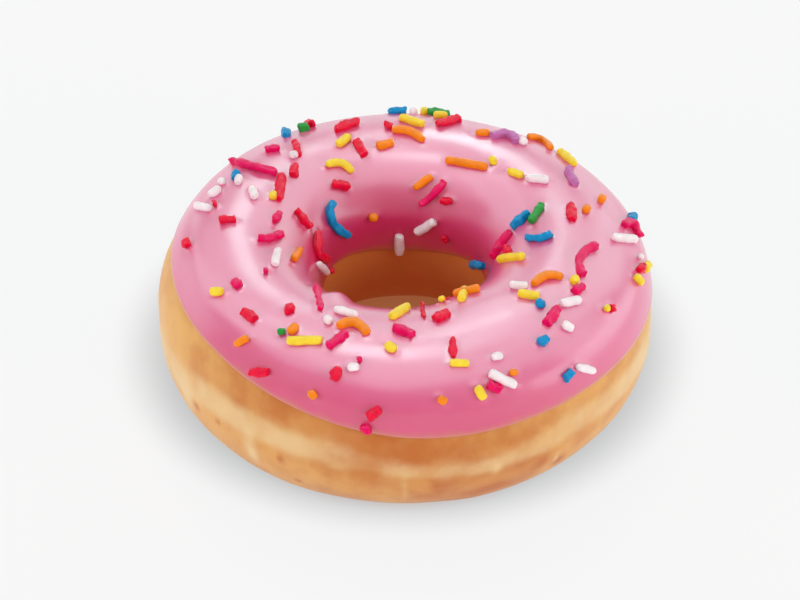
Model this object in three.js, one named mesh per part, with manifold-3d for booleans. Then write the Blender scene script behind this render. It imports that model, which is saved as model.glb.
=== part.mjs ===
// A ring doughnut with a flat rest below, pink icing over its top and sugar sprinkles set in the icing.
// Millimetres, +Z up. The origin is on the table, at the middle of the doughnut.
//
// Places on the ring are given by two angles in degrees. The azimuth runs anticlockwise seen from
// above, from +X. The turn runs over the ring's section: 0 at its outer equator, 90 at its crest,
// 180 at the equator inside the hole and -90 at its underside.

import * as THREE from "three";
import { ParametricGeometry } from "three/addons/geometries/ParametricGeometry.js";
import { mergeVertices } from "three/addons/utils/BufferGeometryUtils.js";
import Module from "manifold-3d";

// Dough.
const RING_MIDDLE = [0, 0.6]; // centres the whole, as the icing stands out further in front
const OUTER_RADIUS = 44.5;
const HOLE_RADIUS = 15.45;
const BELLY_HEIGHT = 16.2; // level of both equators
const TOP_RISE = 16.65; // from the belly up to the crest
const LOWER_DROP = 16.6; // from the belly down, cut flat by the table
const TOP_SQUARENESS = 0.84; // 1 is an ellipse, less is squarer
const LOWER_SQUARENESS = 0.95;

// Icing.
const ICING_CLEARANCE = 0.4; // between the dough and the icing
const ICING_THICKNESS = 1.1;
const LIP_THICKNESS = 0.6; // at the icing's rounded edges
const LIP_TURN = 5; // degrees of turn that the round of the lip takes
const BODY_TURN = 30; // degrees of turn from an edge to the full thickness
const INNER_EDGE_TURN = 179.5; // mean turn at which the icing ends inside the hole
const OUTER_EDGE_TURN = 24.8; // mean turn at which it starts outside

// Unevenness round the ring: [size, waves in a whole round, azimuth of a crest].
const OUTER_WAVES = [[0.35, 2, -45]];
const HOLE_WAVES = [[0.48, 1, 168], [0.49, 2, 105], [0.28, 3, -21]];
const TOP_WAVES = [[0.2, 1, 140]];
const OUTER_EDGE_WAVES = [[9.7, 1, 169], [5.6, 2, 25], [2, 3, 195], [1.4, 4, 198]];
const INNER_EDGE_WAVES = [[8.15, 1, 259], [4.8, 2, 165], [1.5, 3, 270]];

// Where the icing has set in a lump: [height, azimuth, turn, reach in azimuth, reach in turn].
const ICING_LUMPS = [[1.1, 236, 122, 5, 22], [0.5, 302, 116, 16, 22]];

// Sprinkles.
const SPRINKLE_RADIUS = 0.9;
const SPRINKLE_HEIGHT = 0.5; // of the middle line above the icing
const SPRINKLE_SIDES = 6;
const SPRINKLE_TIP = 0.25; // from an end of the middle line to the blunt tip
const SPRINKLE_SHORTEST = 1.6; // from tip to tip

// Sprinkles that a seeded draw adds where the list below has none, one to a cell of each zone: the
// azimuths and the degrees of turn away from the named edge of the icing that the zone covers.
const FILL_ZONES = [
  { edge: "outer", azimuths: [50, 124], away: [6, 17], columns: 9, rows: 1 },
  { edge: "inner", azimuths: [225, 315], away: [14, 42], columns: 3, rows: 2 },
];
const FILL_SEED = 2024;
const FILL_LENGTHS = [1.5, 5]; // of the middle line
const FILL_JITTER = 0.6; // in cells

// Steps of the surfaces.
const RING_STEPS = 52;
const DOUGH_TURNS = [-77.5, -60, -40, -20, 0, 18, 36, 54, 72, 90, 108, 126, 144, 162, 180, 200, 220,
  240, 257.5]; // flat from the last to the first
const LIP_STEPS = [0, 1, 5, 15]; // degrees of turn from an edge of the icing
const ICING_TOP_STEPS = 10; // between the lips
const ICING_UNDER_STEPS = 10;

// Each sprinkle is given by the azimuth and turn of its ends, and of its bend where it has one. A last
// number on its own is its thickness, as a share of the usual one.
const SPRINKLES = {
  red: [
    [178, 83, 177, 89], [183, 61, 185, 62], [230, 88, 232, 86, 1.1], [221, 70, 225, 70, 1.2],
    [232, 39, 236, 43], [281, 95, 286, 98], [284, 80, 283, 68, 0.65], [253, 51, 253, 58, 1.15],
    [262, 31, 264, 36], [331, 51, 332, 53, 0.8], [350, 47, 353, 44], [348, 127, 355, 130],
    [4, 90, 11, 89], [61, 138, 66, 139], [60, 163, 59, 164], [79, 84, 74, 72], [95, 88, 96, 87],
    [109, 97, 108, 108], [105, 80, 113, 84], [118, 68, 117, 58], [138, 98, 142, 102],
    [146, 98, 159, 106], [160, 120, 163, 133], [160, 140, 173, 148, 160, 160], [123, 128, 129, 122],
    [160, 168, 158, 169, 0.75], [128, 83, 132, 92, 0.8], [168, 76, 169, 77, 0.6],
    [277, 98, 279, 124, 0.5],
  ],
  pink: [
    [188, 101, 187, 108, 182, 115], [209, 96, 210, 96, 0.7], [210, 80, 211, 80, 1.15],
    [225, 117, 239, 94, 0.85], [252, 83, 249, 72], [267, 90, 272, 86], [290, 46, 292, 42],
    [261, 24, 262, 21], [258, 67, 258, 66, 0.75], [312, 70, 318, 74, 1.1], [328, 76, 331, 74, 1.15],
    [351, 78, 343, 84, 336, 78], [359, 144, 368, 127], [5, 58, 8, 50, 5, 45],
    [68, 127, 71, 135, 79, 144], [134, 81, 137, 77], [146, 94, 147, 80, 145, 62], [169, 111, 174, 110],
  ],
  orange: [
    [188, 129, 200, 121], [225, 50, 227, 57], [237, 73, 237, 78, 1.15], [249, 87, 253, 91, 258, 86],
    [248, 40, 249, 37], [278, 42, 279, 40], [296, 50, 297, 49, 0.85], [297, 122, 306, 113],
    [323, 93, 329, 92, 331, 87], [8, 83, 10, 81], [14, 70, 16, 68], [52, 66, 50, 57, 44, 66],
    [65, 85, 62, 82], [52, 107, 70, 111], [76, 125, 84, 134], [94, 91, 88, 92, 83, 98],
    [95, 101, 101, 103], [110, 152, 114, 151],
  ],
  yellow: [
    [208, 65, 210, 70], [238, 67, 246, 74], [265, 78, 267, 75], [265, 99, 271, 114], [282, 64, 286, 62],
    [287, 46, 288, 39], [288, 119, 289, 119, 0.7], [295, 108, 304, 124], [315, 93, 318, 87],
    [331, 80, 333, 80], [340, 113, 347, 134], [347, 48, 347, 42], [330, 55, 330, 54, 0.8],
    [353, 41, 356, 38], [42, 102, 36, 99], [51, 101, 52, 100], [34, 66, 42, 62], [81, 70, 78, 68],
    [84, 60, 85, 60], [84, 86, 91, 79], [111, 92, 116, 96], [158, 102, 160, 103],
    [117, 118, 120, 110, 126, 108],
  ],
  white: [
    [196, 111, 206, 104], [168, 165, 183, 149], [244, 98, 252, 97], [244, 89, 245, 89],
    [256, 61, 258, 61], [291, 53, 296, 42], [293, 62, 295, 62], [317, 101, 320, 95], [321, 75, 326, 70],
    [316, 64, 317, 59], [313, 37, 317, 29], [357, 68, 361, 51], [33, 98, 28, 91], [50, 77, 51, 77],
    [69, 154, 81, 163], [94, 166, 94, 177, 1.15], [87, 60, 88, 60], [133, 91, 134, 91],
    [154, 81, 157, 83], [159, 91, 163, 94], [157, 72, 157, 73, 0.85], [161, 74, 164, 71],
    [168, 64, 171, 74], [355, 47, 356, 46, 0.8],
  ],
  blue: [
    [316, 82, 316, 83, 0.9], [307, 61, 308, 61, 1.15], [309, 34, 311, 36],
    [356, 114, 353, 107, 355, 101], [10, 124, 13, 111], [10, 49, 13, 45], [94, 60, 90, 60],
    [127, 71, 124, 58], [152, 77, 155, 79], [137, 133, 144, 142, 134, 157], [14, 161, 31, 169],
  ],
  green: [[234, 70, 235, 71, 0.8], [7, 111, 15, 102], [83, 62, 78, 60], [121, 72, 121, 68]],
  purple: [[23, 80, 31, 76], [60, 83, 56, 76, 52, 80]],
};

const radians = THREE.MathUtils.degToRad;

const wave = (azimuth, waves) =>
  waves.reduce((sum, [size, count, crest]) => sum + size * Math.cos(radians(count * azimuth - crest)), 0);

const signedPower = (value, power) => Math.sign(value) * Math.abs(value) ** power;

// The point of the dough's surface at an azimuth and turn, moved out along its normal by lift.
function ringPoint(azimuth, turn, lift = 0) {
  const along = radians(azimuth);
  const outer = OUTER_RADIUS + wave(azimuth, OUTER_WAVES);
  const inner = HOLE_RADIUS + wave(azimuth, HOLE_WAVES);
  const halfWidth = (outer - inner) / 2;
  const out = Math.cos(radians(turn));
  const up = Math.sin(radians(turn));
  const halfHeight = up > 0 ? TOP_RISE + wave(azimuth, TOP_WAVES) : LOWER_DROP;
  const squareness = up > 0 ? TOP_SQUARENESS : LOWER_SQUARENESS;
  const normal = new THREE.Vector2(out / halfWidth, up / halfHeight).normalize();
  const radius = (outer + inner) / 2 + halfWidth * signedPower(out, squareness) + lift * normal.x;
  const height = BELLY_HEIGHT + halfHeight * signedPower(up, squareness) + lift * normal.y;
  return new THREE.Vector3(
    RING_MIDDLE[0] + radius * Math.cos(along),
    RING_MIDDLE[1] + radius * Math.sin(along),
    Math.max(height, 0),
  );
}

const outerEdge = (azimuth) => OUTER_EDGE_TURN + wave(azimuth, OUTER_EDGE_WAVES);
const innerEdge = (azimuth) => INNER_EDGE_TURN + wave(azimuth, INNER_EDGE_WAVES);

const lump = (azimuth, turn) => ICING_LUMPS.reduce((sum, [height, middle, middleTurn, reach, turnReach]) => {
  const away = THREE.MathUtils.euclideanModulo(azimuth - middle + 180, 360) - 180;
  return sum + height * Math.exp(-((away / reach) ** 2) - ((turn - middleTurn) / turnReach) ** 2);
}, 0);

// How far the icing's outer surface is above the dough's, with a quarter round at both edges.
function icingLift(azimuth, turn) {
  const fromEdge = Math.max(0, Math.min(turn - outerEdge(azimuth), innerEdge(azimuth) - turn));
  const lip = Math.min(fromEdge / LIP_TURN, 1);
  const body = THREE.MathUtils.smoothstep(fromEdge, 0, BODY_TURN);
  return ICING_CLEARANCE + LIP_THICKNESS * Math.sqrt(1 - (1 - lip) ** 2)
    + (ICING_THICKNESS - LIP_THICKNESS + lump(azimuth, turn)) * body;
}

// A closed ring whose section goes through rows, each a function from an azimuth to a point.
function closedRing(rows) {
  const geometry = new ParametricGeometry((round, across, target) => {
    const row = Math.round(across * rows.length) % rows.length;
    const step = Math.round(round * RING_STEPS) % RING_STEPS;
    target.copy(rows[row]((step * 360) / RING_STEPS));
  }, RING_STEPS, rows.length);
  return positionsOnly(geometry);
}

// The geometry with its shared vertices merged and without triangles that have no area.
function positionsOnly(geometry) {
  geometry.deleteAttribute("normal");
  geometry.deleteAttribute("uv");
  const merged = mergeVertices(geometry, 1e-4);
  const kept = [];
  for (let i = 0; i < merged.index.count; i += 3) {
    const [a, b, c] = [0, 1, 2].map((corner) => merged.index.getX(i + corner));
    if (a !== b && b !== c && c !== a) kept.push(a, b, c);
  }
  merged.setIndex(kept);
  return merged;
}

const doughGeometry = () => closedRing(DOUGH_TURNS.map((turn) => (azimuth) => ringPoint(azimuth, turn)));

// Turns over the icing at an azimuth, from its outer edge to its inner one.
function icingTurns(azimuth) {
  const start = outerEdge(azimuth);
  const end = innerEdge(azimuth);
  const lip = LIP_STEPS.at(-1);
  const step = (end - start - 2 * lip) / ICING_TOP_STEPS;
  return [
    ...LIP_STEPS.map((turn) => start + turn),
    ...Array.from({ length: ICING_TOP_STEPS - 1 }, (_, i) => start + lip + (i + 1) * step),
    ...LIP_STEPS.map((turn) => end - turn).reverse(),
  ];
}

function icingShell() {
  const topCount = 2 * LIP_STEPS.length + ICING_TOP_STEPS - 1;
  const topRows = Array.from({ length: topCount }, (_, i) => (azimuth) => {
    const turn = icingTurns(azimuth)[i];
    return ringPoint(azimuth, turn, icingLift(azimuth, turn));
  });
  const underRows = Array.from({ length: ICING_UNDER_STEPS - 1 }, (_, i) => (azimuth) => {
    const share = (i + 1) / ICING_UNDER_STEPS;
    const turn = THREE.MathUtils.lerp(innerEdge(azimuth), outerEdge(azimuth), share);
    return ringPoint(azimuth, turn, ICING_CLEARANCE);
  });
  return closedRing([...topRows, ...underRows]);
}

// A function that gives the next of a repeatable row of numbers between 0 and 1.
function seededDraw(seed) {
  let state = seed;
  return () => {
    state = (state * 16807) % 2147483647;
    return state / 2147483647;
  };
}

// The ends of the sprinkles that the draw puts into the fill zones.
function fillSprinkles() {
  const draw = seededDraw(FILL_SEED);
  const places = [];
  for (const { edge, azimuths, away, columns, rows } of FILL_ZONES) {
    for (let cell = 0; cell < columns * rows; cell += 1) {
      const column = (cell % columns) + 0.5 + FILL_JITTER * (draw() - 0.5);
      const row = Math.floor(cell / columns) + 0.5 + FILL_JITTER * (draw() - 0.5);
      const azimuth = THREE.MathUtils.lerp(...azimuths, column / columns);
      const offset = THREE.MathUtils.lerp(...away, row / rows);
      const turn = edge === "outer" ? outerEdge(azimuth) + offset : innerEdge(azimuth) - offset;
      const heading = Math.PI * draw();
      const half = THREE.MathUtils.lerp(...FILL_LENGTHS, draw()) / 2;
      const radius = Math.hypot(...ringPoint(azimuth, turn).toArray().slice(0, 2));
      const across = THREE.MathUtils.radToDeg((half * Math.cos(heading)) / radius);
      const over = THREE.MathUtils.radToDeg((half * Math.sin(heading)) / TOP_RISE);
      places.push([azimuth - across, turn - over, azimuth + across, turn + over]);
    }
  }
  return places;
}

// The middle line of a sprinkle that lies on the icing: a straight line, or a curve where it bends.
function sprinkleLine(places) {
  const points = [];
  for (let i = 0; i + 1 < places.length; i += 2) {
    const [azimuth, turn] = [places[i], places[i + 1]];
    const rest = Math.max(icingLift(azimuth, turn), ICING_CLEARANCE + LIP_THICKNESS);
    points.push(ringPoint(azimuth, turn, rest + SPRINKLE_HEIGHT));
  }
  return points.length === 2 ? new THREE.LineCurve3(...points) : new THREE.CatmullRomCurve3(points);
}

// A six-sided stick round its middle line.
function sprinkleGeometry(places) {
  const line = sprinkleLine(places);
  const half = line.getLength() / 2;
  const radius = SPRINKLE_RADIUS * (places.length % 2 ? places.at(-1) : 1);
  const length = Math.max(2 * (half + SPRINKLE_TIP), SPRINKLE_SHORTEST * radius / SPRINKLE_RADIUS);
  const steps = Math.floor(places.length / 2) - 1;
  const geometry = positionsOnly(
    new THREE.CylinderGeometry(radius, radius, length, SPRINKLE_SIDES, steps),
  );
  const position = geometry.getAttribute("position");
  const up = new THREE.Vector3(0, 0, 1);
  for (let i = 0; i < position.count; i += 1) {
    const along = position.getY(i);
    const inside = THREE.MathUtils.clamp(along, -half, half);
    const share = 0.5 + inside / (2 * half);
    const tangent = line.getTangent(share);
    const side = new THREE.Vector3().crossVectors(up, tangent).normalize();
    const depth = new THREE.Vector3().crossVectors(side, tangent);
    const point = line.getPoint(share).addScaledVector(tangent, along - inside)
      .addScaledVector(side, position.getX(i)).addScaledVector(depth, position.getZ(i));
    position.setXYZ(i, point.x, point.y, point.z);
  }
  return geometry;
}

const wasm = await Module();
wasm.setup();

const toSolid = (geometry) => new wasm.Manifold(new wasm.Mesh({
  numProp: 3,
  vertProperties: Float32Array.from(geometry.getAttribute("position").array),
  triVerts: Uint32Array.from(geometry.index.array),
}));

function toGeometry(solid) {
  const mesh = solid.getMesh();
  const geometry = new THREE.BufferGeometry();
  geometry.setAttribute("position", new THREE.BufferAttribute(Float32Array.from(mesh.vertProperties), 3));
  geometry.setIndex(new THREE.BufferAttribute(Uint32Array.from(mesh.triVerts), 1));
  return geometry;
}

function icingGeometry() {
  let solid = toSolid(icingShell());
  for (const places of [...Object.values(SPRINKLES).flat(), ...fillSprinkles()]) {
    solid = solid.add(toSolid(sprinkleGeometry(places)));
  }
  return toGeometry(solid);
}

function part(name, geometry, look) {
  const mesh = new THREE.Mesh(geometry, new THREE.MeshStandardMaterial({ metalness: 0, ...look }));
  mesh.name = name;
  return mesh;
}

const doughnut = new THREE.Group();
doughnut.add(
  part("dough", doughGeometry(), { color: 0xd9a066, roughness: 0.6 }),
  part("icing", icingGeometry(), { color: 0xf08fb4, roughness: 0.3 }),
);

export default doughnut;
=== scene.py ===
"""Dresses a sprinkled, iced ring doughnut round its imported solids.

Lengths are in metres. A place on the ring is given by two angles in degrees. The azimuth runs
anticlockwise seen from above, from +X. The turn runs over the ring's section: 0 at its outer
equator, 90 at its crest, 180 at the equator inside the hole and -90 at its underside.
"""

from __future__ import annotations

import logging
import math
from dataclasses import asdict, dataclass, field
from enum import Enum, IntEnum

import bpy
import numpy as np
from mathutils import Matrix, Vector
from mathutils.kdtree import KDTree


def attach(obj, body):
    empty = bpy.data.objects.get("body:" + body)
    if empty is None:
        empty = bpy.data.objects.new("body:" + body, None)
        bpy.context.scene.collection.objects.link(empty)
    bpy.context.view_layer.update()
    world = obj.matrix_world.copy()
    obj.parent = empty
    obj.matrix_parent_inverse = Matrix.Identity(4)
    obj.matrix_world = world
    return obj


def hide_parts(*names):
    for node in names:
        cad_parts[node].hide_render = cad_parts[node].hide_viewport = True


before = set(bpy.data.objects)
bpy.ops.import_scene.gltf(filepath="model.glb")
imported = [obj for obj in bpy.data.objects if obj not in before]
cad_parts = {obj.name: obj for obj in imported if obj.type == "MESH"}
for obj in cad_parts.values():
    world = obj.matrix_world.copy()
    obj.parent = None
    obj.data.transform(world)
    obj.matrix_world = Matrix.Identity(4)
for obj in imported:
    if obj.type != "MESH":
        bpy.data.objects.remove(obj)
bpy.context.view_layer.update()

LOG = logging.getLogger("doughnut")
BODY = "root"
MM = 0.001

# A colour as 0 to 255 on a screen, and as the shader's linear values.
Colour = tuple[int, int, int]
Shade = tuple[float, float, float, float]
# A wave round the ring: its size, its count in a whole round and the azimuth of a crest.
Wave = tuple[float, int, float]
Pair = tuple[float, float]
Triple = tuple[float, float, float]
Row = tuple[float, ...]
Array = np.ndarray
Piece = bpy.types.Object
Node = bpy.types.Node
Socket = bpy.types.NodeSocket


class Lit(Enum):
    """What a studio light shows on."""

    MATT = "matt"
    GLOSS = "gloss"


class Texture(Enum):
    """How sprinkles have dried: smooth and rounded, or crumpled and cut off."""

    SMOOTH = "smooth"
    CRUMPLED = "crumpled"


class Tint(Enum):
    """The colours that sprinkles come in."""

    RED = "red"
    PINK = "pink"
    ORANGE = "orange"
    YELLOW = "yellow"
    WHITE = "white"
    BLUE = "blue"
    GREEN = "green"
    PURPLE = "purple"


# Each sprinkle is given by the azimuth and turn of its ends, and of its bend where it has one. A
# last number on its own is its thickness, as a share of the usual one.
SPRINKLES: dict[Tint, list[Row]] = {
    Tint.RED: [
        (178, 83, 177, 89), (183, 61, 185, 62), (230, 88, 232, 86, 1.1), (221, 70, 225, 70, 1.2),
        (232, 39, 236, 43), (281, 95, 286, 98), (284, 80, 283, 68, 0.65), (253, 51, 253, 58, 1.15),
        (262, 31, 264, 36), (331, 51, 332, 53, 0.8), (350, 47, 353, 44), (348, 127, 355, 130),
        (4, 90, 11, 89), (61, 138, 66, 139), (60, 163, 59, 164), (79, 84, 74, 72), (95, 88, 96, 87),
        (109, 97, 108, 108), (105, 80, 113, 84), (118, 68, 117, 58), (138, 98, 142, 102),
        (146, 98, 159, 106), (160, 120, 163, 133), (160, 140, 173, 148, 160, 160),
        (123, 128, 129, 122), (160, 168, 158, 169, 0.75), (128, 83, 132, 92, 0.8),
        (168, 76, 169, 77, 0.6), (277, 98, 279, 124, 0.5),
    ],
    Tint.PINK: [
        (188, 101, 187, 108, 182, 115), (209, 96, 210, 96, 0.7), (210, 80, 211, 80, 1.15),
        (225, 117, 239, 94, 0.85), (252, 83, 249, 72), (267, 90, 272, 86), (290, 46, 292, 42),
        (261, 24, 262, 21), (258, 67, 258, 66, 0.75), (312, 70, 318, 74, 1.1),
        (328, 76, 331, 74, 1.15), (351, 78, 343, 84, 336, 78), (359, 144, 368, 127),
        (5, 58, 8, 50, 5, 45), (68, 127, 71, 135, 79, 144), (134, 81, 137, 77),
        (146, 94, 147, 80, 145, 62), (169, 111, 174, 110),
    ],
    Tint.ORANGE: [
        (188, 129, 200, 121), (225, 50, 227, 57), (237, 73, 237, 78, 1.15),
        (249, 87, 253, 91, 258, 86), (248, 40, 249, 37), (278, 42, 279, 40),
        (296, 50, 297, 49, 0.85), (297, 122, 306, 113), (323, 93, 329, 92, 331, 87),
        (8, 83, 10, 81), (14, 70, 16, 68), (52, 66, 50, 57, 44, 66), (65, 85, 62, 82),
        (52, 107, 70, 111), (76, 125, 84, 134), (94, 91, 88, 92, 83, 98), (95, 101, 101, 103),
        (110, 152, 114, 151),
    ],
    Tint.YELLOW: [
        (208, 65, 210, 70), (238, 67, 246, 74), (265, 78, 267, 75), (265, 99, 271, 114),
        (282, 64, 286, 62), (287, 46, 288, 39), (288, 119, 289, 119, 0.7), (295, 108, 304, 124),
        (315, 93, 318, 87), (331, 80, 333, 80), (340, 113, 347, 134), (347, 48, 347, 42),
        (330, 55, 330, 54, 0.8), (353, 41, 356, 38), (42, 102, 36, 99), (51, 101, 52, 100),
        (34, 66, 42, 62), (81, 70, 78, 68), (84, 60, 85, 60), (84, 86, 91, 79), (111, 92, 116, 96),
        (158, 102, 160, 103), (117, 118, 120, 110, 126, 108),
    ],
    Tint.WHITE: [
        (196, 111, 206, 104), (168, 165, 183, 149), (244, 98, 252, 97), (244, 89, 245, 89),
        (256, 61, 258, 61), (291, 53, 296, 42), (293, 62, 295, 62), (317, 101, 320, 95),
        (321, 75, 326, 70), (316, 64, 317, 59), (313, 37, 317, 29), (357, 68, 361, 51),
        (33, 98, 28, 91), (50, 77, 51, 77), (69, 154, 81, 163), (94, 166, 94, 177, 1.15),
        (87, 60, 88, 60), (133, 91, 134, 91), (154, 81, 157, 83), (159, 91, 163, 94),
        (157, 72, 157, 73, 0.85), (161, 74, 164, 71), (168, 64, 171, 74), (355, 47, 356, 46, 0.8),
    ],
    Tint.BLUE: [
        (316, 82, 316, 83, 0.9), (307, 61, 308, 61, 1.15), (309, 34, 311, 36),
        (356, 114, 353, 107, 355, 101), (10, 124, 13, 111), (10, 49, 13, 45), (94, 60, 90, 60),
        (127, 71, 124, 58), (152, 77, 155, 79), (137, 133, 144, 142, 134, 157), (14, 161, 31, 169),
    ],
    Tint.GREEN: [(234, 70, 235, 71, 0.8), (7, 111, 15, 102), (83, 62, 78, 60), (121, 72, 121, 68)],
    Tint.PURPLE: [(23, 80, 31, 76), (60, 83, 56, 76, 52, 80)],
}

# The share of each colour among the sprinkles that the draw adds.
FILL_MIX = (
    (Tint.RED, 0.22), (Tint.PINK, 0.15), (Tint.ORANGE, 0.14), (Tint.YELLOW, 0.18),
    (Tint.WHITE, 0.18), (Tint.BLUE, 0.08), (Tint.GREEN, 0.03), (Tint.PURPLE, 0.02),
)


def waves(azimuth: Array, terms: tuple[Wave, ...]) -> Array:
    """Sums waves round the ring.

    Args:
        azimuth: Places round the ring, in degrees.
        terms: The waves.

    Returns:
        The sum at each azimuth.
    """
    total = np.zeros_like(np.asarray(azimuth, float))
    for size, count, crest in terms:
        total += size * np.cos(np.radians(count * azimuth - crest))
    return total


def smoothstep(value: Array, low: float, high: float) -> Array:
    """Rises smoothly from 0 at low to 1 at high."""
    share = np.clip((value - low) / (high - low), 0, 1)
    return share * share * (3 - 2 * share)


@dataclass(frozen=True)
class Spot:
    """A soft spot on the ring, with its reach in azimuth and in turn, and its strength."""

    azimuth: float
    turn: float
    width: float
    height: float
    strength: float

    def at(self, azimuth: Array, turn: Array) -> Array:
        """Spreads its strength over the ring.

        Args:
            azimuth: In degrees.
            turn: In degrees.

        Returns:
            What is left of its strength at each place.
        """
        around = (azimuth - self.azimuth + 180) % 360 - 180
        up = turn - self.turn
        return self.strength * np.exp(-((around / self.width) ** 2) - (up / self.height) ** 2)


@dataclass(frozen=True)
class RingForm:
    """The dough's form: an uneven ring of squarish section, cut flat below."""

    middle: Pair = (0.0, 0.6 * MM)
    outer_radius: float = 44.5 * MM
    hole_radius: float = 15.45 * MM
    belly_height: float = 16.2 * MM
    top_rise: float = 16.65 * MM
    lower_drop: float = 16.6 * MM
    top_squareness: float = 0.84
    lower_squareness: float = 0.95
    outer_waves: tuple[Wave, ...] = ((0.35 * MM, 2, -45),)
    hole_waves: tuple[Wave, ...] = ((0.48 * MM, 1, 168), (0.49 * MM, 2, 105), (0.28 * MM, 3, -21))
    top_waves: tuple[Wave, ...] = ((0.2 * MM, 1, 140),)

    def point(self, azimuth: Array, turn: Array, lift: Array | float = 0.0) -> Array:
        """Places on the dough's surface, or above it.

        Args:
            azimuth: In degrees.
            turn: In degrees.
            lift: How far each place is moved out along the section's normal.

        Returns:
            The places, with x, y and z in the last axis.
        """
        along, over = np.radians(azimuth), np.radians(turn)
        outer = self.outer_radius + waves(azimuth, self.outer_waves)
        inner = self.hole_radius + waves(azimuth, self.hole_waves)
        half_width = (outer - inner) / 2
        out, up = np.cos(over), np.sin(over)
        half_height = np.where(up > 0, self.top_rise + waves(azimuth, self.top_waves), self.lower_drop)
        squareness = np.where(up > 0, self.top_squareness, self.lower_squareness)
        normal_out, normal_up = out / half_width, up / half_height
        size = np.hypot(normal_out, normal_up)
        radius = (outer + inner) / 2 + half_width * np.sign(out) * np.abs(out) ** squareness
        radius += lift * normal_out / size
        height = self.belly_height + half_height * np.sign(up) * np.abs(up) ** squareness
        height += lift * normal_up / size
        x = self.middle[0] + radius * np.cos(along)
        y = self.middle[1] + radius * np.sin(along)
        return np.stack(np.broadcast_arrays(x, y, np.maximum(height, 0.0)), axis=-1)


@dataclass(frozen=True)
class IcingForm:
    """How far the icing reaches round the section, how thick it is, and where it has set thicker."""

    clearance: float = 0.3 * MM
    thickness: float = 1.2 * MM
    lip_thickness: float = 0.35 * MM
    lip_turn: float = 3.5
    body_turn: float = 30.0
    inner_edge_turn: float = 179.5
    outer_edge_turn: float = 24.8
    outer_edge_waves: tuple[Wave, ...] = ((9.7, 1, 169), (5.6, 2, 25), (2, 3, 195), (1.4, 4, 198))
    inner_edge_waves: tuple[Wave, ...] = ((8.15, 1, 259), (4.8, 2, 165), (1.5, 3, 270))
    lumps: tuple[Spot, ...] = (Spot(236, 122, 5, 22, 1.1 * MM), Spot(302, 116, 16, 22, 0.5 * MM))

    def outer_edge(self, azimuth: Array) -> Array:
        """The turn at which the icing starts outside."""
        return self.outer_edge_turn + waves(azimuth, self.outer_edge_waves)

    def inner_edge(self, azimuth: Array) -> Array:
        """The turn at which the icing ends inside the hole."""
        return self.inner_edge_turn + waves(azimuth, self.inner_edge_waves)

    def from_edge(self, azimuth: Array, turn: Array) -> Array:
        """Degrees of turn from the nearer edge of the icing, 0 outside it."""
        outside, inside = turn - self.outer_edge(azimuth), self.inner_edge(azimuth) - turn
        return np.maximum(0, np.minimum(outside, inside))

    def lift(self, azimuth: Array, turn: Array) -> Array:
        """Gives the icing its thickness.

        Args:
            azimuth: In degrees.
            turn: In degrees.

        Returns:
            How far its outer surface is above the dough's.
        """
        from_edge = self.from_edge(azimuth, turn)
        lip = np.minimum(from_edge / self.lip_turn, 1)
        body = smoothstep(from_edge, 0, self.body_turn)
        edge = self.clearance + self.lip_thickness * np.sqrt(1 - (1 - lip) ** 2)
        raised = sum(lump.at(azimuth, turn) for lump in self.lumps)
        return edge + (self.thickness - self.lip_thickness + raised) * body


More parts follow.
